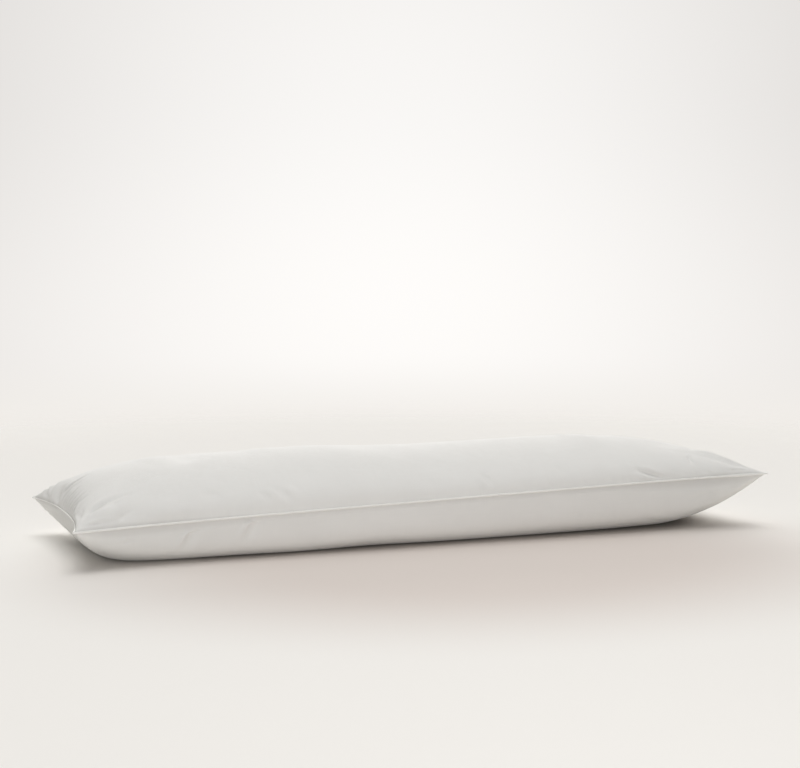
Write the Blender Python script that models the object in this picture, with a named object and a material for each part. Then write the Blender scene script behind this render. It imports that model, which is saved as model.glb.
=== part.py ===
"""A filled body pillow with a piped edge, lying on its back.

Frame: +X runs along the length, +Y across the width, +Z up.  The origin is on
the surface that the pillow lies on, under the middle of its bounding box.
Units are metres.

Pieces
  pillow  the two cotton panels and their filling, as one closed solid: a top
          panel and a bottom panel that meet in one seam all the way round,
          with an uneven crown, drawn-in sides and ends, pointed corners and a
          flat area underneath where it rests
  piping  the thin self-fabric piped edge that is sewn into that seam, one
          closed ring
"""

import math

import bmesh
import bpy
from mathutils import Vector

# ---------------------------------------------------------------- dimensions

PIPING_RADIUS = 0.0020          # the cord inside its folded strip
SEWN_GAP = 0.0003               # clearance between the panels' seam and the piping

SEAM_LENGTH = 1.4554            # panel corner to panel corner, along X
SEAM_WIDTH = 0.4602             # panel corner to panel corner, along Y
END_DRAW = 0.0247               # how far the middle of an end seam is drawn in
END_DRAW_POWER = 2.4            # its curve: higher keeps the draw nearer the corners
SIDE_DRAW = 0.0161              # how far the middle of a long seam is drawn in
SIDE_DRAW_POWER = 5.0

END_RADIUS = 0.2275             # length over which the crown rises from an end seam
END_POWER = 0.511               # 0.5 is a quarter ellipse
SIDE_POWER = 0.465              # the same across the width, a little fuller
BELLY_AT_LEFT = 0.1350          # how far the bottom panel would hang, right at each end seam
BELLY_AT_RIGHT = 0.1240
BELLY_SIDE_POWER = 0.160        # low: the bottom panel drops almost straight from a long seam
FLOOR_BLEND = 0.0060            # height over which the belly rounds into its flat

SEAM_RISE_SIDE = 0.0010         # the long seams rise a little between their corners
SEAM_RISE_END = 0.0020          # and so do the end seams

CELLS_END = 9                   # mesh cells over each end radius
CELLS_MIDDLE = 30               # mesh cells between the two end radii
CELLS_ACROSS = 26               # mesh cells across the width
CORNER_STEPS = 5                # turns of the piping round a corner

# the height of the seam at each corner of the pillow
SEAM_CORNERS = (
    # name          end   side   height
    ("near_left",   -1,   -1,    0.0719),
    ("near_right",  +1,   -1,    0.1120),
    ("far_left",    -1,   +1,    0.0765),
    ("far_right",   +1,   +1,    0.0747),
)

# the height of the crown at stations along the length, -1 and +1 being the ends
CROWN_SECTIONS = (
    # station  crown
    (-1.00,    0.1819),
    (-0.78,    0.1723),
    (-0.52,    0.1761),
    (-0.26,    0.1822),
    (+0.00,    0.1762),
    (+0.26,    0.1792),
    (+0.52,    0.1825),
    (+0.78,    0.1755),
    (+1.00,    0.1850),
)

# how far the bottom panel would hang below the seam if no floor held it
BELLY_SECTIONS = (
    # station  depth
    (-1.00,    0.1094),
    (-0.90,    0.0985),
    (-0.80,    0.0892),
    (-0.60,    0.0915),
    (-0.40,    0.0976),
    (-0.20,    0.0970),
    (+0.00,    0.1030),
    (+0.25,    0.1067),
    (+0.50,    0.1092),
    (+0.75,    0.1092),
    (+1.00,    0.1150),
)

# broad soft folds: a trough (-) or ridge (+) along a line on one panel
FOLDS = (
    # name                panel     x0      y0       x1      y1      width   depth
    ("far_left_valley",   "top",    -0.640, +0.020,  -0.700, +0.075, 0.024,  -0.0060),
    ("far_left_ear",      "top",    -0.655, +0.120,  -0.705, +0.175, 0.026,  +0.0050),
    ("near_left_valley",  "top",    -0.705, -0.200,  -0.630, -0.178, 0.020,  -0.0050),
    ("near_left_ridge",   "top",    -0.700, -0.212,  -0.600, -0.205, 0.022,  +0.0035),
    ("left_third_crease", "top",    -0.355, -0.175,  -0.310, -0.212, 0.024,  -0.0035),
    ("right_third_crease", "top",   +0.435, -0.195,  +0.500, -0.214, 0.024,  -0.0040),
    ("near_right_curve",  "top",    +0.572, -0.165,  +0.560, -0.212, 0.024,  -0.0035),
    ("near_right_ridge",  "top",    +0.610, -0.100,  +0.668, -0.185, 0.028,  +0.0040),
    ("belly_left_fold",   "bottom", -0.403, -0.228,  -0.554, -0.194, 0.026,  -0.0050),
)

PANEL_COLOUR = (0.80, 0.795, 0.775, 1.0)     # undyed bleached cotton
PIPING_COLOUR = (0.86, 0.85, 0.83, 1.0)


# ------------------------------------------------------------- small helpers

def smooth_through(rows, at):
    """A smooth curve through (station, value) rows, read at one station."""
    at = min(max(at, rows[0][0]), rows[-1][0])
    count = len(rows)
    i = 0
    while i < count - 2 and at > rows[i + 1][0]:
        i += 1

    def slope(k):
        lo, hi = max(k - 1, 0), min(k + 1, count - 1)
        return (rows[hi][1] - rows[lo][1]) / (rows[hi][0] - rows[lo][0])

    span = rows[i + 1][0] - rows[i][0]
    t = (at - rows[i][0]) / span
    return ((2 * t**3 - 3 * t**2 + 1) * rows[i][1]
            + (t**3 - 2 * t**2 + t) * span * slope(i)
            + (3 * t**2 - 2 * t**3) * rows[i + 1][1]
            + (t**3 - t**2) * span * slope(i + 1))


def flat_floor(height):
    """Height held at the floor: rounds over FLOOR_BLEND and is exactly zero below."""
    if height <= -FLOOR_BLEND:
        return 0.0
    if height >= FLOOR_BLEND:
        return height
    return (height + FLOOR_BLEND) ** 2 / (4 * FLOOR_BLEND)


def fold_offset(panel, x, y):
    """Sum of the folds of one panel at a point: a soft bell across each line."""
    total = 0.0
    for _, on, x0, y0, x1, y1, width, depth in FOLDS:
        if on != panel:
            continue
        along = Vector((x1 - x0, y1 - y0))
        rel = Vector((x - x0, y - y0))
        t = rel.dot(along) / along.length_squared
        near = min(max(t, 0.0), 1.0)
        off = (rel - along * near).length
        total += depth * math.exp(-(off / (0.6 * width)) ** 2)
    return total


# --------------------------------------------------------- the pillow's form

def end_reach(v):
    """Half length of the outline at a place v (-1 to 1) across the width."""
    return SEAM_LENGTH / 2 - END_DRAW * (1 - abs(v) ** END_DRAW_POWER)


def side_reach(u):
    """Half width of the outline at a place u (-1 to 1) along the length."""
    return SEAM_WIDTH / 2 - SIDE_DRAW * (1 - abs(u) ** SIDE_DRAW_POWER)


def seam_height(u, v):
    """Height of the seam, carried smoothly across the middle of the pillow."""
    height = 0.0
    for _, end, side, corner in SEAM_CORNERS:
        height += corner * (1 + end * u) / 2 * (1 + side * v) / 2
    height += SEAM_RISE_SIDE * (1 - u**4)
    height += SEAM_RISE_END * (1 - v**2) * u**4
    return height


def rounded(u, v, side_power):
    """0 at the seam, 1 in the middle: how far the filling pushes a panel out."""
    from_end = (1 - abs(u)) * end_reach(v)
    along = (1 - (1 - min(from_end / END_RADIUS, 1.0)) ** 2) ** END_POWER
    across = (1 - abs(v) ** 2) ** side_power
    return along * across


def belly_hang(u, v):
    """How far the bottom panel would hang below the seam with no floor there:
    steep along the long seams, and a rounder bowl at the two ends."""
    at_end = abs(u) ** 6
    steep = smooth_through(BELLY_SECTIONS, u) * rounded(u, v, BELLY_SIDE_POWER)
    bowl = (BELLY_AT_LEFT + (BELLY_AT_RIGHT - BELLY_AT_LEFT) * (1 + u) / 2) * rounded(u, v, SIDE_POWER)
    return steep * (1 - at_end) + bowl * at_end


def panel_point(panel, u, v):
    x = u * end_reach(v)
    y = v * side_reach(u)
    seam = seam_height(u, v)
    if abs(u) >= 1.0 or abs(v) >= 1.0:
        return Vector((x, y, seam))
    full = rounded(u, v, SIDE_POWER)
    fold = fold_offset(panel, x, y) * min(1.0, 3.0 * full)
    if panel == "top":
        crown = smooth_through(CROWN_SECTIONS, u)
        return Vector((x, y, seam + (crown - seam) * full + fold))
    return Vector((x, y, flat_floor(seam - belly_hang(u, v) - fold)))


def stations_along():
    """Places along the length: close together where the ends round over."""
    reach = SEAM_LENGTH / 2
    rim = [1 - (END_RADIUS / reach) * (1 - math.cos(math.pi / 2 * k / CELLS_END))
           for k in range(CELLS_END + 1)]
    inner = rim[-1]
    middle = [-inner + 2 * inner * k / CELLS_MIDDLE for k in range(1, CELLS_MIDDLE)]
    return [-r for r in rim] + middle + rim[::-1]


def stations_across():
    """Places across the width: close together where the sides round over."""
    places = []
    for k in range(CELLS_ACROSS + 1):
        even = 2 * k / CELLS_ACROSS - 1
        closer = 0.45 * even + 0.55 * math.sin(math.pi / 2 * even)
        places.append(math.sin(math.pi / 2 * closer))
    places[0], places[-1] = -1.0, 1.0
    return places


# -------------------------------------------------------------------- meshes

def material(name, colour, roughness):
    mat = bpy.data.materials.new(name)
    mat.use_nodes = True
    shader = mat.node_tree.nodes["Principled BSDF"]
    shader.inputs["Base Color"].default_value = colour
    shader.inputs["Roughness"].default_value = roughness
    shader.inputs["Metallic"].default_value = 0.0
    return mat


def add_object(name, data, mat, parent):
    obj = bpy.data.objects.new(name, data)
    data.materials.append(mat)
    bpy.context.scene.collection.objects.link(obj)
    obj.parent = parent
    return obj


def pillow_mesh():
    """Two grids of one size, one for each panel, joined along the seam."""
    us, vs = stations_along(), stations_across()
    bm = bmesh.new()
    rows = {}
    for panel in ("top", "bottom"):
        for i, u in enumerate(us):
            for j, v in enumerate(vs):
                on_seam = i in (0, len(us) - 1) or j in (0, len(vs) - 1)
                if on_seam and panel == "bottom":
                    rows[panel, i, j] = rows["top", i, j]
                else:
                    rows[panel, i, j] = bm.verts.new(panel_point(panel, u, v))
        for i in range(len(us) - 1):
            for j in range(len(vs) - 1):
                ring = [rows[panel, i, j], rows[panel, i + 1, j],
                        rows[panel, i + 1, j + 1], rows[panel, i, j + 1]]
                bm.faces.new(ring if panel == "top" else ring[::-1])
    bmesh.ops.triangulate(bm, faces=bm.faces[:], quad_method="SHORT_EDGE")
    mesh = bpy.data.meshes.new("pillow")
    bm.to_mesh(mesh)
    bm.free()
    mesh.shade_smooth()
    return mesh


def piping_path():
    """The piping's centre line: the seam, moved outward by the piping's radius
    and the sewn gap, with an arc of the same size round each corner."""
    us, vs = stations_along(), stations_across()
    near = [panel_point("top", u, -1.0) for u in us]
    right = [panel_point("top", 1.0, v) for v in vs]
    far = [panel_point("top", u, 1.0) for u in reversed(us)]
    left = [panel_point("top", -1.0, v) for v in reversed(vs)]
    out = PIPING_RADIUS + SEWN_GAP

    def outward(a, b):
        return Vector((b.y - a.y, a.x - b.x, 0.0)).normalized()

    path = []
    sides = (near, right, far, left)
    for s, side in enumerate(sides):
        for k in range(1, len(side) - 1):
            push = (outward(side[k - 1], side[k]) + outward(side[k], side[k + 1])).normalized()
            path.append(side[k] + push * out)
        after = sides[(s + 1) % 4]
        start = outward(side[-2], side[-1])
        finish = outward(after[0], after[1])
        turn = start.angle(finish)
        for step in range(CORNER_STEPS + 1):
            a = turn * step / CORNER_STEPS
            push = Vector((start.x * math.cos(a) - start.y * math.sin(a),
                           start.x * math.sin(a) + start.y * math.cos(a), 0.0))
            # the corner is an arc whose chords stay clear of the panels' tip
            path.append(side[-1] + push * (out / math.cos(turn / CORNER_STEPS / 2)))
    return path


def piping_curve():
    path = piping_path()
    curve = bpy.data.curves.new("piping", "CURVE")
    curve.dimensions = "3D"
    curve.twist_mode = "Z_UP"
    curve.bevel_depth = PIPING_RADIUS
    curve.bevel_resolution = 2
    spline = curve.splines.new("POLY")
    spline.points.add(len(path) - 1)
    for point, place in zip(spline.points, path):
        point.co = (*place, 1.0)
    spline.use_cyclic_u = True
    spline.use_smooth = True
    return curve


def main():
    for obj in list(bpy.data.objects):
        bpy.data.objects.remove(obj, do_unlink=True)
    root = bpy.data.objects.new("body_pillow", None)
    bpy.context.scene.collection.objects.link(root)
    add_object("pillow", pillow_mesh(), material("cotton_panel", PANEL_COLOUR, 0.9), root)
    add_object("piping", piping_curve(), material("cotton_piping", PIPING_COLOUR, 0.85), root)


main()
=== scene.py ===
import math
import random

import bpy
import numpy as np
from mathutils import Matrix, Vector


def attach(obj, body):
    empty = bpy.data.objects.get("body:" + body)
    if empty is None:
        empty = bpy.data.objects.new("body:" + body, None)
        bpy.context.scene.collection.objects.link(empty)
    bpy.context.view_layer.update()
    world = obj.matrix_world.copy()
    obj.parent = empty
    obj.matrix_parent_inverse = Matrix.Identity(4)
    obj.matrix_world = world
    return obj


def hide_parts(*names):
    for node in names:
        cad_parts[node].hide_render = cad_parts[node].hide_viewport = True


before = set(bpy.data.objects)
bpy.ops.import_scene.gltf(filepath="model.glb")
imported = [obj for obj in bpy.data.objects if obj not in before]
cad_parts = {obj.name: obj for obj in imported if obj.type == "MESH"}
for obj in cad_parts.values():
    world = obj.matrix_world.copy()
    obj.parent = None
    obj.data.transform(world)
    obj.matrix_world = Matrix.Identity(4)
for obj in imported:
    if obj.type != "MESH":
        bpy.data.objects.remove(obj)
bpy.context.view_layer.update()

# A filled body pillow with a piped edge, lying on its back.  The two panels are
# built on the cloth's own coordinates (metres measured on the flat panel from
# its middle), so creases and gathers are written down where they lie on the
# cloth.  Everything is in metres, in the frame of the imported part.

# ------------------------------------------------------------- main sizes

PIPING_RADIUS = 0.0020
SEAM_LENGTH = 1.4560            # panel corner to panel corner
SEAM_WIDTH = 0.4608
END_DRAW, END_DRAW_POWER = 0.0247, 2.4
SIDE_DRAW, SIDE_DRAW_POWER = 0.0161, 5.0
END_RADIUS, END_POWER = 0.2275, 0.511
SIDE_POWER = 0.465
BELLY_AT_LEFT, BELLY_AT_RIGHT = 0.1350, 0.1240
FLOOR_BLEND, BELLY_SIDE_POWER = 0.0060, 0.160
SEAM_RISE_SIDE, SEAM_RISE_END = 0.0010, 0.0020

SEAM_CORNERS = dict(near_left=0.0719, near_right=0.1120, far_left=0.0765, far_right=0.0747)

# station along the length (-1 and +1 are the ends), height of the crown
CROWN_SECTIONS = (
    (-1.00, 0.1819),
    (-0.78, 0.1723),
    (-0.52, 0.1761),
    (-0.26, 0.1822),
    (+0.00, 0.1762),
    (+0.26, 0.1792),
    (+0.52, 0.1825),
    (+0.78, 0.1755),
    (+1.00, 0.1850),
)

# station along the length, how deep the underside would hang under the seam if
# the floor were not there
BELLY_SECTIONS = (
    (-1.00, 0.1094),
    (-0.90, 0.0985),
    (-0.80, 0.0892),
    (-0.60, 0.0915),
    (-0.40, 0.0976),
    (-0.20, 0.0970),
    (+0.00, 0.1030),
    (+0.25, 0.1067),
    (+0.50, 0.1092),
    (+0.75, 0.1092),
    (+1.00, 0.1150),
)

CELLS_A, CELLS_B = 160, 75      # cells of one panel in the cloth simulation, doubled after it
# place on the cloth from -1 to 1, and how far apart the cells are there
SPACING_A = ((-1.00, 0.64), (-0.88, 0.70), (-0.70, 1.00), (-0.30, 1.30), (0.00, 1.40), (0.40, 1.30), (0.54, 0.85),
             (0.62, 0.66), (0.72, 0.80), (0.80, 0.90), (0.90, 0.80), (1.00, 0.75))
SPACING_B = ((-1.00, 0.78), (0.10, 0.88), (0.40, 1.15), (1.00, 1.40))

# ------------------------------------------------------- creases
# Each row is one fold of the cloth, written in millimetres on the flat panel
# from its middle (the near long seam is at -251, the left end seam at -738).
# panel; the points it runs through; half width at its start and at its end;
# height at its middle (+ ridge, - trough); how sharp its top is (0 round, 1 a
# pressed edge); where it is strongest along its length (0 start, 1 end).

CREASES = (
    # panel    from          by way of      to             wide       high  sharp  peak
    # soft swells and hollows of the filling along the crown
    ("top", ((-560, 22), (-490, 20)),                      (42, 42),  +2.2, 0.0,  0.50),
    ("top", ((-500, 6), (-430, -16)),                      (60, 60),  -5.0, 0.0,  0.50),
    ("top", ((-340, 12), (-250, 12)),                      (52, 52),  +2.0, 0.0,  0.50),
    ("top", ((-190, 0), (-10, 0)),                         (60, 60),  -3.0, 0.0,  0.50),
    ("top", ((356, 0), (452, -14)),                        (60, 60),  +3.6, 0.0,  0.50),
    ("top", ((530, -56), (606, -104)),                     (50, 44),  -3.0, 0.0,  0.55),
    ("top", ((-640, 60), (-560, 50)),                      (34, 40),  -1.2, 0.0,  0.50),
    # the far left corner: a dark facet at the tip, the edge beside it, a lit swell,
    # a hollow, and the deep crease that runs up out of it
    ("top", ((-706, 200), (-712, 184), (-727, 161), (-737, 143)),      (10, 7),   +6.4, 0.6, 0.40),
    ("top", ((-704, 226), (-720, 216), (-736, 218)),       (14, 11),  +1.6, 0.0,  0.50),
    ("top", ((-724, 182), (-731, 170), (-737, 158)),       (3.2, 3.2), -2.0, 0.5, 0.50),
    ("top", ((-727, 196), (-734, 184), (-738, 172)),       (3.2, 3.2), -1.6, 0.5, 0.50),
    ("top", ((-676, 172), (-700, 156), (-728, 134)),       (20, 15),  +5.0, 0.0,  0.55),
    ("top", ((-690, 118), (-712, 106), (-727, 98), (-737, 84)),        (18, 13),  -9.2, 0.1, 0.52),
    ("top", ((-648, 54), (-662, 51), (-678, 52), (-692, 58), (-706, 63), (-722, 60)),  (4, 5),  -7.6, 0.85, 0.50),
    ("top", ((-652, 70), (-672, 68), (-692, 76), (-706, 82)),          (9, 9),    +1.8, 0.0, 0.50),
    ("top", ((-652, 38), (-672, 36), (-690, 40), (-708, 46)),          (6, 6),    +2.0, 0.1, 0.50),
    # the near left corner: folds that stand on the end seam, and the fan from the tip
    ("top", ((-738, -111), (-729, -104), (-716, -95), (-698, -88)),    (4, 4.5),  -5.2, 0.8, 0.35),
    ("top", ((-737, -128), (-727, -121), (-712, -113), (-694, -108)),  (5, 7),    +2.8, 0.2, 0.40),
    ("top", ((-737, -242), (-733, -196), (-732, -150), (-737, -116)),  (3.6, 3.6), +2.8, 0.3, 0.45),
    ("top", ((-737, -240), (-730, -206), (-721, -180), (-704, -152)),  (4.5, 8),  -5.4, 0.6, 0.40),
    ("top", ((-738, -249), (-726, -232), (-714, -217), (-692, -196)),  (4.5, 10), +4.6, 0.5, 0.38),
    ("top", ((-728, -235), (-704, -210), (-683, -198), (-642, -185), (-606, -180)),  (3.8, 6.5),  -5.4, 0.7, 0.42),
    ("top", ((-722, -218), (-696, -193), (-668, -178), (-632, -164)),  (6, 14),   +3.0, 0.1, 0.42),
    ("top", ((-724, -238), (-696, -224), (-668, -218), (-646, -208)),  (8, 15),   +5.6, 0.2, 0.58),
    ("top", ((-650, -249), (-636, -238), (-616, -228), (-576, -214)),  (6, 18),   -5.0, 0.3, 0.36),
    ("top", ((-734, -245), (-706, -246), (-672, -246), (-640, -247)),  (3.0, 3.2), -3.0, 0.5, 0.50),
    ("top", ((-612, -206), (-550, -196), (-480, -192)),    (16, 26),  -2.2, 0.0,  0.50),
    ("top", ((-590, -240), (-540, -236), (-480, -230)),    (10, 14),  +1.4, 0.0,  0.50),
    ("top", ((-486, -213), (-460, -208), (-436, -216)),    (12, 12),  -1.6, 0.0,  0.50),
    # the near long side
    ("top", ((-372, -204), (-362, -216), (-352, -230)),    (6, 5),    -1.6, 0.3,  0.50),
    ("top", ((-354, -200), (-345, -216), (-334, -236)),    (6.5, 5.5), +3.4, 0.3, 0.50),
    ("top", ((-333, -198), (-323, -216), (-311, -241)),    (6, 5),    -2.8, 0.2,  0.50),
    ("top", ((-313, -200), (-304, -215), (-293, -236)),    (7, 6),    +2.2, 0.2,  0.50),
    ("top", ((-60, -196), (-30, -212), (10, -224)),        (16, 16),  -1.0, 0.0,  0.50),
    ("top", ((86, -196), (94, -215), (104, -242)),         (5, 4.5),  -2.6, 0.3,  0.55),
    ("top", ((72, -206), (82, -223), (92, -244)),          (6, 5),    +1.5, 0.0,  0.60),
    ("top", ((236, -196), (262, -208), (290, -214)),       (14, 14),  -1.0, 0.0,  0.50),
    # the near right quarter: a pressed fold with a lit wedge under it
    ("top", ((420, -213), (438, -225), (460, -236), (478, -245), (496, -252)),  (3.6, 3.4),  -2.8, 0.6, 0.45),
    ("top", ((418, -215), (440, -230), (463, -241), (492, -250)),      (8.5, 7),  -5.0, 0.0, 0.42),
    ("top", ((422, -226), (438, -238), (456, -245), (478, -250)),      (7, 5),    +3.4, 0.1, 0.42),
    ("top", ((418, -190), (424, -202), (428, -214)),       (6, 6),    -0.9, 0.0,  0.50),
    ("top", ((496, -228), (503, -238), (509, -248)),       (4, 4),    +1.0, 0.2,  0.60),
    ("top", ((583, -172), (571, -187), (566, -205), (570, -222)),      (4.4, 4.2), -3.2, 0.5, 0.45),
    ("top", ((597, -170), (587, -188), (582, -206), (586, -224)),      (9, 7),    +1.3, 0.0, 0.45),
    ("top", ((574, -230), (584, -241), (590, -248)),       (4, 4),    -1.0, 0.3,  0.60),
    ("top", ((592, -232), (600, -241), (606, -248)),       (4, 4),    +0.9, 0.2,  0.60),
    # the near right corner: a flat facet with an edge that stands up
    ("top", ((616, -118), (640, -152), (668, -190), (700, -222)),      (18, 9),   +7.2, 0.5, 0.40),
    ("top", ((646, -206), (672, -220), (704, -236)),       (13, 8),   -2.4, 0.0,  0.40),
    ("top", ((640, -196), (650, -206), (656, -216)),       (3.4, 3.4), -0.9, 0.4, 0.50),
    ("top", ((632, -243), (676, -243), (716, -246)),       (3.4, 3.2), -2.0, 0.5, 0.45),
    # underneath, on the near side
    ("bottom", ((-500, -251), (-512, -238), (-519, -212), (-534, -184)),  (5, 6),  +4.2, 0.5, 0.50),
    ("bottom", ((-486, -250), (-499, -236), (-506, -210), (-520, -184)),  (8, 10), -4.2, 0.1, 0.46),
    ("bottom", ((-384, -251), (-397, -238), (-406, -220), (-418, -200)),  (5, 6),  +3.4, 0.4, 0.45),
    ("bottom", ((-370, -250), (-383, -236), (-393, -216), (-404, -198)),  (8, 10), -3.2, 0.1, 0.45),
    ("bottom", ((-616, -250), (-626, -232), (-636, -210)), (6, 10),   -1.4, 0.2,  0.45),
    ("bottom", ((-680, -250), (-684, -236), (-690, -218)), (5, 8),    -1.2, 0.2,  0.40),
    ("bottom", ((-240, -250), (-250, -228), (-262, -206)), (8, 12),   -0.9, 0.0,  0.45),
    ("bottom", ((-30, -240), (10, -218), (60, -204)),      (12, 14),  -0.9, 0.0,  0.45),
    ("bottom", ((230, -246), (214, -222), (190, -200)),    (10, 14),  -1.0, 0.0,  0.45),
    ("bottom", ((420, -190), (452, -174), (486, -160), (520, -152)),      (6, 9),  -1.4, 0.4, 0.45),
    ("bottom", ((590, -248), (568, -216), (548, -192)),    (8, 12),   -1.4, 0.0,  0.45),
)

# Rows of small gathers that a drawn-in seam makes.  panel; which seam; where the
# row starts and ends along it; spacing; how far they run in from the seam; half
# width; height (- all troughs, + troughs with some ridges); how far their inner
# ends lean along the seam; how uneven (0-1).

GATHERS = (
    # panel     seam     from   to    apart  long  wide  high  lean  uneven
    ("top",    "left",    -92,   50,    20,   58,   3.4, -4.4,  -20,  0.20),
    ("top",    "left",    104,  172,    18,   30,   3.2, -1.1,   10,  0.50),
    ("top",    "near",    600,  722,    15,   22,   3.2,  0.4,  -12,  0.60),
    ("top",    "near",    300,  600,    29,   24,   4.2,  0.5,   -8,  0.80),
    ("top",    "near",   -600, -380,    34,   30,   5.0,  0.5,   10,  0.90),
    ("top",    "near",   -280,  280,    46,   26,   5.5,  0.5,   12,  0.90),
    ("top",    "right",  -222,  222,    19,   54,   4.0,  1.4,   10,  0.70),
    ("top",    "far",    -720,  720,    27,   40,   5.0,  1.2,    6,  0.90),
    ("bottom", "left",   -216,  216,    20,   46,   4.0,  1.1,   12,  0.70),
    ("bottom", "right",  -216,  216,    20,   46,   4.0,  1.3,  -12,  0.70),
    ("bottom", "far",    -716,  716,    28,   40,   5.0,  1.2,    8,  0.90),
    ("bottom", "near",   -716, -520,    22,   26,   4.0,  0.4,  -10,  0.80),
    ("bottom", "near",   -480,  560,    52,   28,   6.0,  0.5,   10,  0.90),
    ("bottom", "near",    580,  716,    20,   30,   4.0,  0.5,   12,  0.70),
)

# the two panels lie this far apart in the cloth's own layer, in metres
PANELS_APART = 0.7
# painted shade: the lower panel's colour is darker close to the seam, where it is tucked in under the piping and lies
# in its shadow
SEAM_SHADE_REACH, SEAM_SHADE_COLOUR = 0.0068, (0.690, 0.678, 0.652, 1)


# ------------------------------------------------------------- the form

def smooth_through(rows, x):
    xs = np.array([r[0] for r in rows])
    vals = np.array([r[1] for r in rows])
    slope = np.gradient(vals, xs)
    i = np.clip(np.searchsorted(xs, x) - 1, 0, len(xs) - 2)
    h = xs[i + 1] - xs[i]
    t = np.clip((x - xs[i]) / h, 0, 1)
    return ((2 * t**3 - 3 * t**2 + 1) * vals[i] + (t**3 - 2 * t**2 + t) * h * slope[i]
            + (3 * t**2 - 2 * t**3) * vals[i + 1] + (t**3 - t**2) * h * slope[i + 1])


def form(panel, u, v):
    """The filled pillow's smooth form at places u, v from -1 to 1."""
    reach = SEAM_LENGTH / 2 - END_DRAW * (1 - np.abs(v) ** END_DRAW_POWER)
    side = SEAM_WIDTH / 2 - SIDE_DRAW * (1 - np.abs(u) ** SIDE_DRAW_POWER)
    right, far = (1 + u) / 2, (1 + v) / 2
    c = SEAM_CORNERS
    seam = ((1 - right) * (1 - far) * c["near_left"] + right * (1 - far) * c["near_right"]
            + (1 - right) * far * c["far_left"] + right * far * c["far_right"])
    seam = seam + SEAM_RISE_SIDE * (1 - u**4) + SEAM_RISE_END * (1 - v**2) * u**4
    from_end = np.clip((1 - np.abs(u)) * reach / END_RADIUS, 0, 1)
    end_part, side_part = 1 - (1 - from_end) ** 2, np.clip(1 - v**2, 0, 1)
    if panel == "top":
        full = end_part ** END_POWER * side_part ** SIDE_POWER
        z = seam + (smooth_through(CROWN_SECTIONS, u) - seam) * full
    else:
        out = np.abs(u) ** 6
        box = smooth_through(BELLY_SECTIONS, u) * side_part ** BELLY_SIDE_POWER
        bowl = (BELLY_AT_LEFT + (BELLY_AT_RIGHT - BELLY_AT_LEFT) * right) * side_part ** SIDE_POWER
        hang = seam - (box * (1 - out) + bowl * out) * end_part ** END_POWER
        z = np.where(hang <= -FLOOR_BLEND, 0.0,
                     np.where(hang >= FLOOR_BLEND, hang, (hang + FLOOR_BLEND) ** 2 / (4 * FLOOR_BLEND)))
        z = np.where((np.abs(u) >= 1) | (np.abs(v) >= 1), seam, z)
    return np.stack([u * reach, v * side, z], -1)


def cloth_line(panel, along):
    """How cloth length runs over the pillow's middle line: place for each cloth
    coordinate from -1 to 1, and the line's whole length."""
    turn = np.sin(np.linspace(-math.pi / 2, math.pi / 2, 4001))
    if along:
        reach = SEAM_LENGTH / 2 - END_DRAW
        rim = 1 - END_RADIUS / reach * (1 - np.cos(np.linspace(0, math.pi / 2, 1500)))
        turn = np.concatenate([-rim, np.linspace(-rim[-1], rim[-1], 3000)[1:-1], rim[::-1]])
    line = form(panel, turn, 0 * turn) if along else form(panel, 0 * turn, turn)
    s = np.concatenate([[0], np.cumsum(np.linalg.norm(np.diff(line, axis=0), axis=1))])
    return s / s[-1] * 2 - 1, turn, s[-1]


FLAT_LENGTH, FLAT_WIDTH = cloth_line("top", True)[2], cloth_line("top", False)[2]


def stations(cells, spacing):
    place = np.linspace(-1, 1, 2001)
    count = np.concatenate([[0], np.cumsum(1 / smooth_through(spacing, (place[1:] + place[:-1]) / 2))])
    return np.interp(np.linspace(0, 1, cells + 1), count / count[-1], place)


def cloth_grid(panel, a, b):
    """The panel's smooth form on the cloth's own grid.  In the middle the cloth
    follows its middle line, and towards the seam it is drawn to the seam."""
    sa, ta, _ = cloth_line(panel, True)
    sb, tb, _ = cloth_line(panel, False)
    crown_u, crown_v = np.interp(a, sa, ta), np.interp(b, sb, tb)
    seam_u = np.sign(a) * (1.03 * np.abs(a) - 0.03 * np.abs(a) ** 6)
    u = crown_u[:, None] + (seam_u - crown_u)[:, None] * np.abs(b)[None, :] ** 2
    near_end = np.abs(a) ** (6 if panel == "top" else 16)
    v = crown_v[None, :] + (b - crown_v)[None, :] * near_end[:, None]
    return form(panel, u, v)


# -------------------------------------------------------- grids and meshes

def numbering(na, nb):
    """Vertex numbers of both panels, which share the seam's vertices."""
    top = np.arange((na + 1) * (nb + 1)).reshape(na + 1, nb + 1)
    inner = np.zeros(top.shape, bool)
    inner[1:-1, 1:-1] = True
    bottom = top.copy()
    bottom[inner] = top.size + np.arange(inner.sum())
    return top, bottom, inner


def quads(number):
    return np.stack([number[:-1, :-1], number[1:, :-1], number[1:, 1:], number[:-1, 1:]], -1).reshape(-1, 4)


def two_panels(name, top_points, bottom_points):
    na, nb = top_points.shape[0] - 1, top_points.shape[1] - 1
    top, bottom, inner = numbering(na, nb)
    points = np.concatenate([top_points.reshape(-1, 3), bottom_points[inner]])
    faces = np.concatenate([quads(top), quads(bottom)[:, ::-1]])
    mesh = bpy.data.meshes.new(name)
    mesh.from_pydata(points.tolist(), [], faces.tolist())
    mesh.update()
    obj = bpy.data.objects.new(name, mesh)
    bpy.context.scene.collection.objects.link(obj)
    return obj, top, bottom, inner


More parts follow.
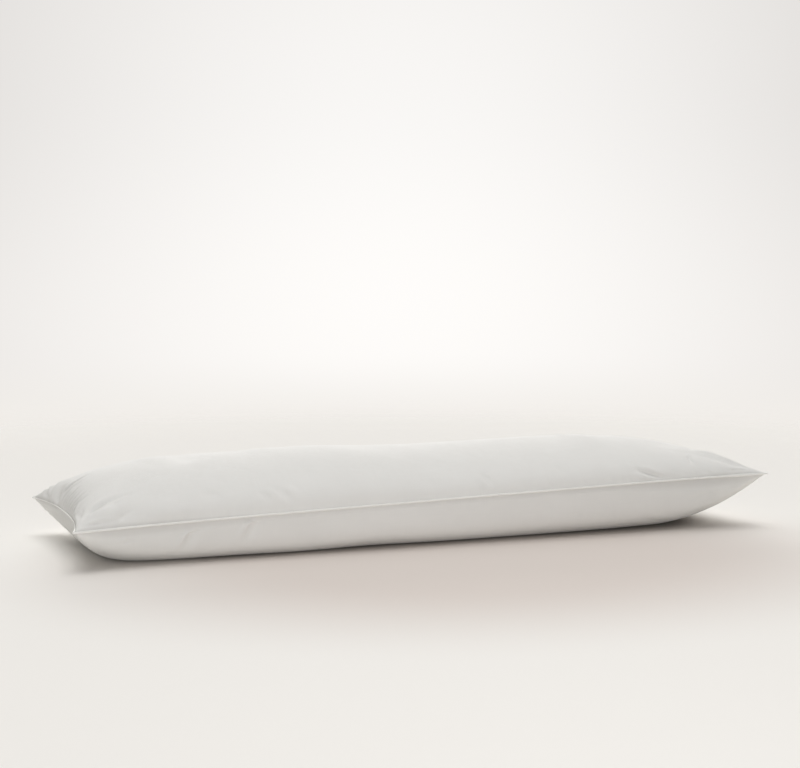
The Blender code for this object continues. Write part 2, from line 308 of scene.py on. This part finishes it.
def blurred(field, sigma_a, sigma_b):
    """Gaussian blur over the grid of a field that is zero on the seam: it is
    carried on past the seam with its sign turned, so the blur is zero there too."""
    out = field
    for axis, sigma in ((0, sigma_a), (1, sigma_b)):
        n = int(3 * sigma) + 1
        weights = np.exp(-0.5 * (np.arange(-n, n + 1) / sigma) ** 2)
        weights /= weights.sum()
        moved = np.moveaxis(out, axis, 0)
        ext = np.concatenate([-moved[n:0:-1], moved, -moved[-2:-n - 2:-1]])
        total = sum(w * ext[k:k + len(moved)] for k, w in enumerate(weights))
        out = np.moveaxis(total, 0, axis)
    return out


def doubled(field):
    """Twice the cells along both axes, with a smooth curve through the points."""
    out = field
    for axis in (0, 1):
        m = np.moveaxis(out, axis, 0)
        ext = np.concatenate([2 * m[:1] - m[1:2], m, 2 * m[-1:] - m[-2:-1]])
        between = (-ext[:-3] + 9 * ext[1:-2] + 9 * ext[2:-1] - ext[3:]) / 16
        new = np.empty((2 * len(m) - 1,) + m.shape[1:])
        new[0::2], new[1::2] = m, between
        out = np.moveaxis(new, 0, axis)
    return out


def normals(points, flip):
    da = np.gradient(points, axis=0)
    db = np.gradient(points, axis=1)
    n = np.cross(da, db)
    n /= np.maximum(np.linalg.norm(n, axis=-1, keepdims=True), 1e-12)
    return -n if flip else n


# ---------------------------------------------------------- the simulation

SIM_FRAMES = 24


def settle(a, b, start):
    """Lets the filling push the two flat panels out, with the seam held and the
    belly on the floor, and gives how far each point of each panel moved."""
    obj, top, bottom, inner = two_panels("settling", start["top"], start["bottom"])
    flat = np.stack(np.broadcast_arrays(a[:, None] * FLAT_LENGTH / 2, b[None, :] * FLAT_WIDTH / 2, 0.0), -1)
    obj.shape_key_add(name="Basis")
    cut = obj.shape_key_add(name="cut")
    rest = np.concatenate([flat.reshape(-1, 3), flat[inner]])
    cut.data.foreach_set("co", rest.astype(np.float32).ravel())
    begin = np.concatenate([start["top"].reshape(-1, 3), start["bottom"][inner]])
    held = begin[:, 2] < 0.0005
    held[top[~inner]] = True
    group = obj.vertex_groups.new(name="held")
    group.add([int(i) for i in np.nonzero(held)[0]], 1.0, "REPLACE")
    mod = obj.modifiers.new("cloth", "CLOTH")
    cloth = mod.settings
    cloth.vertex_group_mass = "held"
    cloth.rest_shape_key = cut
    cloth.quality = 6
    cloth.mass = 0.15
    cloth.tension_stiffness = cloth.compression_stiffness = 60
    cloth.shear_stiffness = 20
    cloth.bending_model = "ANGULAR"
    cloth.bending_stiffness = 0.02
    cloth.use_pressure = True
    cloth.uniform_pressure_force = 4.0
    cloth.effector_weights.gravity = 0.0
    mod.collision_settings.use_collision = False
    mod.point_cache.frame_start, mod.point_cache.frame_end = 1, SIM_FRAMES + 1
    scene = bpy.context.scene
    scene.frame_start, scene.frame_end = 1, SIM_FRAMES + 1
    for number in range(1, SIM_FRAMES + 1):
        scene.frame_set(number)
    settled = obj.evaluated_get(bpy.context.evaluated_depsgraph_get())
    mesh = settled.to_mesh()
    now = np.empty(len(begin) * 3, np.float32)
    mesh.vertices.foreach_get("co", now)
    settled.to_mesh_clear()
    moved = now.reshape(-1, 3).astype(float) - begin
    scene.frame_set(1)
    data = obj.data
    bpy.data.objects.remove(obj, do_unlink=True)
    bpy.data.meshes.remove(data)
    return {"top": moved[top], "bottom": moved[bottom]}


# ----------------------------------------------------- creases on the grid

def along_line(points, count=25):
    """A smooth line through a few points of the flat cloth (in metres)."""
    pts = np.array(points, float) / 1000
    knots = np.linspace(0, 1, len(pts))
    slope = np.gradient(pts, knots, axis=0)
    t = np.linspace(0, 1, count)
    i = np.clip(np.searchsorted(knots, t) - 1, 0, len(pts) - 2)
    h = knots[1] - knots[0]
    f = ((t - knots[i]) / h)[:, None]
    return ((2 * f**3 - 3 * f**2 + 1) * pts[i] + (f**3 - 2 * f**2 + f) * h * slope[i]
            + (3 * f**2 - 2 * f**3) * pts[i + 1] + (f**3 - f**2) * h * slope[i + 1])


def nearest(flat, line):
    """Distance from each place of the cloth to the line, and how far along it."""
    seg = line[1:] - line[:-1]
    length2 = np.maximum((seg**2).sum(1), 1e-12)
    best = np.full(flat.shape[:-1], 1e9)
    where = np.zeros(flat.shape[:-1])
    for k in range(len(seg)):
        rel = flat - line[k]
        f = np.clip((rel @ seg[k]) / length2[k], 0, 1)
        d = np.hypot(rel[..., 0] - f * seg[k, 0], rel[..., 1] - f * seg[k, 1])
        closer = d < best
        best = np.where(closer, d, best)
        where = np.where(closer, (k + f) / len(seg), where)
    return best, where


def fold(height, flat, points, wide, high, sharp, peak):
    """Adds one fold to the heights of a panel."""
    line = along_line(points)
    reach = 3.2 * max(wide) / 1000
    low, top = line.min(0) - reach, line.max(0) + reach
    rows = np.nonzero((flat[:, 0, 0] >= low[0]) & (flat[:, 0, 0] <= top[0]))[0]
    cols = np.nonzero((flat[0, :, 1] >= low[1]) & (flat[0, :, 1] <= top[1]))[0]
    if not len(rows) or not len(cols):
        return
    box = (slice(rows[0], rows[-1] + 1), slice(cols[0], cols[-1] + 1))
    d, t = nearest(flat[box], line)
    width = (wide[0] + (wide[1] - wide[0]) * t) / 1000
    x = d / width
    round_top = np.exp(-x**2)
    pressed = np.exp(-1.7 * x) * (1 + 0.35 * x)
    across = (1 - sharp) * round_top + sharp * pressed - 0.22 * np.exp(-((x - 2.1) / 0.75) ** 2)
    rise = np.where(t < peak, t / peak, (1 - t) / (1 - peak))
    end = np.sin(np.clip(rise, 0, 1) * math.pi / 2) ** 1.3
    height[box] += high / 1000 * across * end


def gathers(height, flat, seam, start, stop, apart, long, wide, high, lean, uneven, rng):
    """A row of uneven small gathers that run in from one seam."""
    at = start + apart * 0.5 * rng.random()
    half_a, half_b = FLAT_LENGTH * 500, FLAT_WIDTH * 500
    while at < stop:
        size = 1 + uneven * rng.uniform(-1, 1)
        run = long * (0.55 + 0.45 * size) * rng.uniform(1 - 0.5 * uneven, 1)
        slant = lean * rng.uniform(0.6, 1.3) + uneven * rng.uniform(-6, 6)
        bow = rng.uniform(-3, 3)
        root, mid, tip = 0.8, run * 0.5, run
        places = [(root, at), (mid, at + slant * 0.4 + bow), (tip, at + slant)]
        points = {"left": [(-half_a + d, s) for d, s in places], "right": [(half_a - d, s) for d, s in places],
                  "near": [(s, -half_b + d) for d, s in places], "far": [(s, half_b - d) for d, s in places]}[seam]
        tall = high * size * (1 if high < 0 else rng.choice((-1, -1, 1)))
        fold(height, flat, points, (wide, wide * rng.uniform(1.1, 1.7)), tall, 0.45, rng.uniform(0.25, 0.42))
        at += apart * (1 + 0.5 * uneven * rng.uniform(-1, 1))


def cloth_heights(panel, flat):
    height = np.zeros(flat.shape[:-1])
    for row in CREASES:
        if row[0] == panel:
            fold(height, flat, *row[1:])
    for number, row in enumerate(GATHERS):
        if row[0] == panel:
            gathers(height, flat, *row[1:], random.Random(410 + number))
    inside = np.minimum(FLAT_LENGTH / 2 - np.abs(flat[..., 0]), FLAT_WIDTH / 2 - np.abs(flat[..., 1]))
    return height * (1 - np.exp(-(np.maximum(inside, 0) / 0.0034) ** 2))


# -------------------------------------------------------------- the pillow

def share(panel, a, b):
    """How much of the simulated folds a place keeps: the near side's folds are
    listed in the tables, the far side and the underside keep more of the simulation."""
    side = np.clip((b + 0.15) / 0.6, 0, 1)
    side = side * side * (3 - 2 * side)
    if panel == "bottom":
        return np.broadcast_to(0.35 + 0.35 * side[None, :], (len(a), len(b)))
    left = np.exp(-((a[:, None] + 1) / 0.12) ** 2)
    return 0.18 + (0.62 - 0.30 * left) * side[None, :]


def build_points():
    a, b = stations(CELLS_A, SPACING_A), stations(CELLS_B, SPACING_B)
    coarse = {p: cloth_grid(p, a, b) for p in ("top", "bottom")}
    fa = np.interp(np.linspace(0, CELLS_A, 2 * CELLS_A + 1), np.arange(CELLS_A + 1), a)
    fb = np.interp(np.linspace(0, CELLS_B, 2 * CELLS_B + 1), np.arange(CELLS_B + 1), b)
    fine = {p: cloth_grid(p, fa, fb) for p in ("top", "bottom")}
    moved = settle(a, b, coarse)
    for p in ("top", "bottom"):
        wide = blurred(moved[p], 5.0, 7.0)
        kept = (moved[p] - wide) + 0.15 * wide
        size = np.linalg.norm(kept, axis=-1, keepdims=True)
        kept *= np.minimum(1.0, 0.016 / np.maximum(size, 1e-9))
        fine[p] = fine[p] + doubled(kept) * share(p, fa, fb)[..., None]
    flat = np.stack(np.broadcast_arrays(fa[:, None] * FLAT_LENGTH / 2, fb[None, :] * FLAT_WIDTH / 2), -1)
    for p in ("top", "bottom"):
        out = normals(fine[p], p == "bottom")
        fine[p] = fine[p] + cloth_heights(p, flat)[..., None] * out
    fine["bottom"][..., 2] = np.maximum(fine["bottom"][..., 2], 0.0)
    return fine, flat


points, flat = build_points()
pillow, top_no, bottom_no, inner = two_panels("pillow_cloth", points["top"], points["bottom"])
pillow.data.shade_smooth()

uv = pillow.data.uv_layers.new(name="cloth")
face_uv = np.concatenate([flat.reshape(-1, 2)[quads(top_no)],
                          (flat.reshape(-1, 2) + (0, -PANELS_APART))[quads(top_no)][:, ::-1]])
uv.uv.foreach_set("vector", face_uv.astype(np.float32).ravel())


def from_seam(grid):
    """How far each place of a panel is from the nearest seam, along the cloth."""
    def from_ends(axis):
        step = np.linalg.norm(np.diff(grid, axis=axis), axis=-1)
        run = np.concatenate([np.zeros_like(step.take([0], axis)), np.cumsum(step, axis)], axis)
        return np.minimum(run, run.take([-1], axis) - run)
    return np.minimum(from_ends(0), from_ends(1))


# mask for the painted shade beside the seam: 0 on the seam, rising to 1 a few millimetres into the lower panel; 1
# elsewhere
clear = np.ones(len(pillow.data.vertices), np.float32)
clear[bottom_no.ravel()] = np.clip(from_seam(points["bottom"]).ravel() / SEAM_SHADE_REACH, 0, 1)
clear = clear * clear * (3 - 2 * clear)
pillow.data.attributes.new("clear_of_seam_shade", "FLOAT", "POINT").data.foreach_set("value", clear.astype(np.float32))


# -------------------------------------------------------------- the piping

# how often round the ring, where it starts, how much of the radius
PIPING_UNEVENNESS = ((11, 0.4, 0.020), (37, 1.9, 0.018), (83, 4.1, 0.016), (171, 0.8, 0.014), (307, 2.7, 0.012))


# where the fold is drawn in and thinner, or puffed: the seam, then rows of place
# along it in millimetres and size
PIPING_SIZES = (
    ("left", ((-251, 1.00), (-236, 0.80), (-200, 0.55), (-120, 0.55), (-82, 0.85), (50, 0.75), (84, 0.50), (224, 0.50), (251, 0.90))),
    ("near", ((-738, 1.00), (620, 1.00), (656, 1.30), (700, 1.30), (738, 0.90))),
)


def piping():
    """A cord in a folded strip, along the seam a radius outside its edge."""
    def round_the_seam(grid):
        return np.concatenate([grid[:-1, 0], grid[-1, :-1], grid[:0:-1, -1], grid[0, :0:-1]])

    top = points["top"]
    ring, place = round_the_seam(top), round_the_seam(flat) * 1000
    size = np.ones(len(ring))
    for seam, rows in PIPING_SIZES:
        axis = 1 if seam == "left" else 0
        on = place[:, 1 - axis] < -(FLAT_WIDTH if axis == 0 else FLAT_LENGTH) * 500 + 0.1
        size[on] = np.interp(place[on, axis], [r[0] for r in rows], [r[1] for r in rows])
    count = len(ring)
    corners = [0, top.shape[0] - 1, top.shape[0] + top.shape[1] - 2, 2 * top.shape[0] + top.shape[1] - 3]
    path, thick = [], []
    for k in range(count):
        before, here, after = ring[k - 1], ring[k], ring[(k + 1) % count]
        d0, d1 = here - before, after - here
        n0 = np.array([d0[1], -d0[0], 0.0]) / np.hypot(d0[0], d0[1])
        n1 = np.array([d1[1], -d1[0], 0.0]) / np.hypot(d1[0], d1[1])
        if k in corners:
            turn = math.acos(max(-1.0, min(1.0, float(n0 @ n1))))
            for step in range(9):
                ang = turn * step / 8
                c, s = math.cos(ang), math.sin(ang)
                push = np.array([n0[0] * c - n0[1] * s, n0[0] * s + n0[1] * c, 0.0])
                path.append(here + push * PIPING_RADIUS * size[k])
                thick.append(size[k])
        else:
            push = n0 + n1
            path.append(here + push / np.linalg.norm(push) * PIPING_RADIUS * size[k])
            thick.append(size[k])
    path = np.array(path)
    sides = 12
    tangent = np.roll(path, -1, 0) - np.roll(path, 1, 0)
    tangent /= np.linalg.norm(tangent, axis=1, keepdims=True)
    across = np.cross(tangent, (0, 0, 1.0))
    across /= np.linalg.norm(across, axis=1, keepdims=True)
    up = np.cross(across, tangent)
    step = np.linalg.norm(np.roll(path, -1, 0) - path, axis=1)
    run = np.concatenate([[0], np.cumsum(step)])
    turns = 2 * math.pi * run[:-1] / run[-1]
    bulge = sum(h * np.sin(n * turns + p) for n, p, h in PIPING_UNEVENNESS)
    radius = PIPING_RADIUS * np.array(thick) * (1 + bulge)
    ang = np.linspace(0, 2 * math.pi, sides, endpoint=False)
    tube = (path[:, None] + radius[:, None, None] * (np.cos(ang)[None, :, None] * across[:, None]
                                                     + np.sin(ang)[None, :, None] * up[:, None]))
    n = len(path)
    i, j = np.meshgrid(np.arange(n), np.arange(sides), indexing="ij")
    number = i * sides + j
    faces = np.stack([number, np.roll(number, -1, 0), np.roll(np.roll(number, -1, 0), -1, 1), np.roll(number, -1, 1)], -1)
    mesh = bpy.data.meshes.new("piped_edge")
    mesh.from_pydata(tube.reshape(-1, 3).tolist(), [], faces.reshape(-1, 4)[:, ::-1].tolist())
    girth = 2 * math.pi * PIPING_RADIUS / sides
    cord = np.stack([np.stack([run[i + di], (j + dj) * girth], -1) for di, dj in ((0, 0), (1, 0), (1, 1), (0, 1))], 2)
    layer = mesh.uv_layers.new(name="cord")
    layer.uv.foreach_set("vector", cord.reshape(-1, 4, 2)[:, ::-1].astype(np.float32).ravel())
    mesh.update()
    mesh.shade_smooth()
    obj = bpy.data.objects.new("piped_edge", mesh)
    bpy.context.scene.collection.objects.link(obj)
    return obj


piped = piping()


# --------------------------------------------------------------- materials

class Tree:
    """Short way to add and link shader nodes."""

    def __init__(self, owner):
        owner.use_nodes = True
        self.tree = owner.node_tree
        self.tree.nodes.clear()

    def add(self, kind, *inputs, **settings):
        node = self.tree.nodes.new(kind)
        for key, value in settings.items():
            if key.startswith("in_"):
                self.put(node.inputs[key[3:].replace("_", " ")], value)
            else:
                setattr(node, key, value)
        for socket, value in zip(node.inputs, inputs):
            if value is not None:
                self.put(socket, value)
        return node

    def put(self, socket, value):
        if isinstance(value, bpy.types.Node):
            value = value.outputs[0]
        if isinstance(value, bpy.types.NodeSocket):
            self.tree.links.new(value, socket)
        else:
            socket.default_value = value

    def math(self, operation, *values, clamp=False):
        return self.add("ShaderNodeMath", *values, operation=operation, use_clamp=clamp)

    def blend(self, factor, first, second):
        node = self.add("ShaderNodeMix", data_type="RGBA")
        for socket, value in ((node.inputs["Factor"], factor), (node.inputs[6], first), (node.inputs[7], second)):
            self.put(socket, value)
        return node.outputs[2]

    def noise(self, where, scale, detail=2.0, rough=0.5):
        return self.add("ShaderNodeTexNoise", in_Vector=where, in_Scale=scale, in_Detail=detail,
                        in_Roughness=rough).outputs["Fac"]

    def stretched(self, where, scale):
        return self.add("ShaderNodeMapping", where, in_Scale=scale).outputs[0]


THREAD = 0.00042                # from one thread to the next of the tight plain weave


def cotton(name, layer, light, dark, turned, slub):
    """Tight plain-woven cotton: over-and-under threads, a few thicker ones, soft
    unevenness of the dye and a faint nap.  layer holds cloth metres."""
    mat = bpy.data.materials.new(name)
    t = Tree(mat)
    cloth = t.add("ShaderNodeUVMap", uv_map=layer).outputs[0]
    if turned:
        cloth = t.add("ShaderNodeMapping", cloth, in_Rotation=(0, 0, math.radians(turned))).outputs[0]
    axes = t.add("ShaderNodeSeparateXYZ", cloth)
    phase = math.pi / THREAD
    warp = t.math("SINE", t.math("MULTIPLY", axes.outputs["X"], phase))
    weft = t.math("SINE", t.math("MULTIPLY", axes.outputs["Y"], phase))
    weave = t.math("MULTIPLY", warp, weft)

    long_threads = t.noise(t.stretched(cloth, (14, 900, 1)), 1.0, 2.0, 0.6)
    cross_threads = t.noise(t.stretched(cloth, (900, 14, 1)), 1.0, 2.0, 0.6)
    slubs = t.math("ADD", long_threads, cross_threads)
    patches = t.noise(cloth, 9.0, 3.0, 0.55)
    crumple = t.noise(cloth, 46.0, 4.0, 0.55)

    tone = t.math("ADD", t.math("MULTIPLY", t.math("SUBTRACT", slubs, 1.0), slub),
                  t.math("ADD", t.math("MULTIPLY", patches, 0.75), t.math("MULTIPLY", crumple, 0.25)))
    shade = t.add("ShaderNodeMapRange", tone, 0.25, 0.75, 0.0, 1.0, interpolation_type="SMOOTHSTEP")
    colour = t.blend(shade, dark, light)
    # painted shade along the lower panel's seam, standing in for the piping's shadow in the recess
    if layer == "cloth":
        colour = t.blend(t.add("ShaderNodeAttribute", attribute_name="clear_of_seam_shade").outputs["Fac"], SEAM_SHADE_COLOUR, colour)
    rough = t.add("ShaderNodeMapRange", slubs, 0.6, 1.4, 0.78, 0.94)

    threads = t.add("ShaderNodeBump", in_Strength=0.35, in_Distance=0.00006,
                    in_Height=t.math("ADD", weave, t.math("MULTIPLY", slubs, 1.6)))
    relief = t.add("ShaderNodeBump", in_Strength=0.30, in_Distance=0.0011, in_Height=crumple, in_Normal=threads)
    broad = t.add("ShaderNodeBump", in_Strength=0.30, in_Distance=0.006, in_Height=patches, in_Normal=relief)
    shader = t.add("ShaderNodeBsdfPrincipled")
    for socket, value in (("Base Color", colour), ("Roughness", rough), ("Normal", broad),
                          ("Specular IOR Level", 0.22), ("Sheen Weight", 0.10), ("Sheen Roughness", 0.45)):
        t.put(shader.inputs[socket], value)
    t.add("ShaderNodeOutputMaterial", shader)
    return mat


PANEL_LIGHT, PANEL_DARK = (0.843, 0.837, 0.811, 1), (0.819, 0.813, 0.787, 1)
PIPING_LIGHT, PIPING_DARK = (0.935, 0.928, 0.900, 1), (0.905, 0.898, 0.870, 1)
pillow.data.materials.append(cotton("panel_cotton", "cloth", PANEL_LIGHT, PANEL_DARK, 0, 0.5))
piped.data.materials.append(cotton("piping_cotton", "cord", PIPING_LIGHT, PIPING_DARK, 45, 0.4))


# --------------------------------------------------- floor, light, camera

CAMERA_YAW, CAMERA_PITCH = 21.7608, 3.8428
YAW = math.radians(CAMERA_YAW)
AWAY = Vector((math.sin(YAW), math.cos(YAW), 0.0))       # level, away from the camera
SIDEWAYS = Vector((math.cos(YAW), -math.sin(YAW), 0.0))  # level, to the camera's right

FLOOR_RADIUS, FLOOR_SOLID, FLOOR_GONE = 6.0, 1.2, 3.6    # it fades into the backdrop between these
FLOOR_COLOUR, FLOOR_SHADE = (0.890, 0.874, 0.842, 1), (0.725, 0.665, 0.622, 1)
# the soft shade in front of the pillow: where, which way it lies and how far it reaches
SHADE_SHIFT, SHADE_TURN, SHADE_SCALE = (0.00, -0.36, 0.0), 0.0, (0.98, 0.80, 1.0)
# the deeper shade close around the pillow: half size of its core, its middle, and
# where round the core it is full and gone
CLOSE_CORE, CLOSE_MIDDLE, CLOSE_FULL, CLOSE_GONE = (0.46, 0.02, 9.0), (0.04, 0.0, 0.0), 0.122, 0.194
CLOSE_SHADE = (0.50, 0.46, 0.43, 1)


def floor_material():
    mat = bpy.data.materials.new("floor")
    t = Tree(mat)
    place = t.add("ShaderNodeTexCoord").outputs["Object"]
    radius = t.add("ShaderNodeVectorMath", place, operation="LENGTH").outputs["Value"]
    fade = t.add("ShaderNodeMapRange", radius, FLOOR_SOLID, FLOOR_GONE, 0.0, 1.0, interpolation_type="SMOOTHERSTEP")
    turn = t.add("ShaderNodeMapping", place, in_Location=SHADE_SHIFT, in_Rotation=(0, 0, SHADE_TURN), in_Scale=SHADE_SCALE, vector_type="TEXTURE")
    reach = t.add("ShaderNodeVectorMath", turn, operation="LENGTH").outputs["Value"]
    shaded = t.add("ShaderNodeMapRange", reach, 0.35, 1.0, 1.0, 0.0, interpolation_type="SMOOTHSTEP")
    off = t.add("ShaderNodeVectorMath", place, CLOSE_MIDDLE, operation="SUBTRACT")
    off = t.add("ShaderNodeVectorMath", off, operation="ABSOLUTE")
    off = t.add("ShaderNodeVectorMath", off, CLOSE_CORE, operation="SUBTRACT")
    off = t.add("ShaderNodeVectorMath", off, (0.0, 0.0, 0.0), operation="MAXIMUM")
    off = t.add("ShaderNodeVectorMath", off, operation="LENGTH").outputs["Value"]
    close = t.add("ShaderNodeMapRange", off, CLOSE_FULL, CLOSE_GONE, 1.0, 0.0, interpolation_type="SMOOTHSTEP")
    tone = t.blend(close, t.blend(shaded, FLOOR_COLOUR, FLOOR_SHADE), CLOSE_SHADE)
    diffuse = t.add("ShaderNodeBsdfDiffuse", in_Color=tone, in_Roughness=0.0)
    clear = t.add("ShaderNodeBsdfTransparent")
    mix = t.add("ShaderNodeMixShader", fade, diffuse, clear)
    t.add("ShaderNodeOutputMaterial", mix)
    return mat


ring = [(FLOOR_RADIUS * math.cos(k * math.pi / 48), FLOOR_RADIUS * math.sin(k * math.pi / 48), 0.0) for k in range(96)]
mesh = bpy.data.meshes.new("floor")
mesh.from_pydata(ring, [], [tuple(range(96))])
mesh.materials.append(floor_material())
floor = bpy.data.objects.new("floor", mesh)
floor.location.z = -0.0003
bpy.context.scene.collection.objects.link(floor)

# The backdrop is a plain pale studio, brightest low behind the pillow, and what
# shows through the floor's faded rim is the same pale tone.
BACKDROP_UP = math.radians(4.6)
SIDE_TURN = math.radians(17.0)          # the room is paler to the left of the pillow
world = bpy.data.worlds.new("studio")
bpy.context.scene.world = world
t = Tree(world)
way = t.add("ShaderNodeVectorMath", t.add("ShaderNodeTexCoord").outputs["Generated"], operation="NORMALIZE").outputs["Vector"]
height = t.add("ShaderNodeSeparateXYZ", way).outputs["Z"]
middle = (AWAY * math.cos(BACKDROP_UP) + Vector((0, 0, 1)) * math.sin(BACKDROP_UP)).normalized()
facing = t.add("ShaderNodeVectorMath", way, tuple(middle), operation="DOT_PRODUCT").outputs["Value"]
angle = t.math("ARCCOSINE", t.math("MINIMUM", facing, 0.99999))
spread = t.math("POWER", t.math("DIVIDE", angle, math.radians(18.0)), 2.0)
glow = t.math("EXPONENT", t.math("MULTIPLY", spread, -1.0))
turned = (AWAY * math.cos(SIDE_TURN) - SIDEWAYS * math.sin(SIDE_TURN)).normalized()
beside = t.add("ShaderNodeVectorMath", way, tuple(turned), operation="DOT_PRODUCT").outputs["Value"]
side = t.add("ShaderNodeMapRange", beside, 0.20, 0.85, 0.20, 0.62, interpolation_type="SMOOTHSTEP")
low = t.add("ShaderNodeMapRange", height, 0.12, -0.06, 0.0, 0.095, interpolation_type="SMOOTHSTEP")
level = t.math("ADD", t.math("ADD", side, t.math("MULTIPLY", glow, 0.325)), low)
under = t.add("ShaderNodeMapRange", height, -0.045, -0.10, 0.0, 1.0, interpolation_type="SMOOTHSTEP")
ahead = t.add("ShaderNodeMapRange", facing, 0.2, 0.85, 0.0, 1.0, interpolation_type="SMOOTHSTEP")

tint = t.blend(glow, t.blend(ahead, (0.98, 0.975, 0.965, 1), (1.0, 0.962, 0.925, 1)), (1.0, 0.983, 0.965, 1))
tone = t.add("ShaderNodeVectorMath", tint, operation="SCALE")
t.put(tone.inputs["Scale"], level)
t.add("ShaderNodeOutputWorld", t.add("ShaderNodeBackground", t.blend(under, tone.outputs[0], (0.885, 0.856, 0.815, 1)), 1.0))

# Each light is a wide window far away: its direction round from the one straight
# behind the pillow (to the camera's right is +), its height and its width in
# degrees, its strength and its colour.
WINDOWS = (
    # name        round  height  width  strength  colour
    ("back_low",     -5,     12,    24,    1.120,  (1.00, 0.99, 0.98)),
    ("back_high",     0,     55,    50,    0.580,  (1.00, 0.99, 0.98)),
    ("overhead",      0,     88,    50,    1.330,  (1.00, 0.99, 0.98)),
)
FRONT_ROUND, FRONT_AWAY, FRONT_UP, FRONT_POWER = 172, 4.2, 0.42, 190.0   # a soft pool of light on the near side
for name, round_, height, width, strength, colour in WINDOWS:
    lamp = bpy.data.lights.new(name, "SUN")
    lamp.energy, lamp.angle, lamp.color = strength, math.radians(width), colour
    r, h = math.radians(round_), math.radians(height)
    to_lamp = (AWAY * math.cos(r) + SIDEWAYS * math.sin(r)) * math.cos(h) + Vector((0, 0, 1)) * math.sin(h)
    obj = bpy.data.objects.new(name, lamp)
    obj.rotation_euler = (-to_lamp).to_track_quat("-Z", "Y").to_euler()
    obj.location = to_lamp * 3
    obj.visible_camera = False
    bpy.context.scene.collection.objects.link(obj)

lamp = bpy.data.lights.new("front", "SPOT")
lamp.energy, lamp.color, lamp.shadow_soft_size = FRONT_POWER, (0.99, 0.99, 1.00), 0.5
lamp.spot_size, lamp.spot_blend = math.radians(40), 1.0
front = bpy.data.objects.new("front", lamp)
r = math.radians(FRONT_ROUND)
front.location = (AWAY * math.cos(r) + SIDEWAYS * math.sin(r)) * FRONT_AWAY + Vector((0, 0, FRONT_UP))
front.rotation_euler = (Vector((-0.06, 0, 0.18)) - front.location).to_track_quat("-Z", "Y").to_euler()
front.visible_camera = False
bpy.context.scene.collection.objects.link(front)

bpy.context.scene.view_settings.view_transform = "Standard"

cam = bpy.data.cameras.new("camera")
cam.sensor_width = 36
cam.lens = 72
camera = bpy.data.objects.new("camera", cam)
camera.location = (-1.23668, -3.06711, 0.52724)
camera.rotation_euler = (math.radians(90 - CAMERA_PITCH), 0, -YAW)
bpy.context.scene.collection.objects.link(camera)
bpy.context.scene.camera = camera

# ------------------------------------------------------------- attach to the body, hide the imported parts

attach(pillow, "root")
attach(piped, "root")
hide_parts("pillow")
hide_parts("piping")
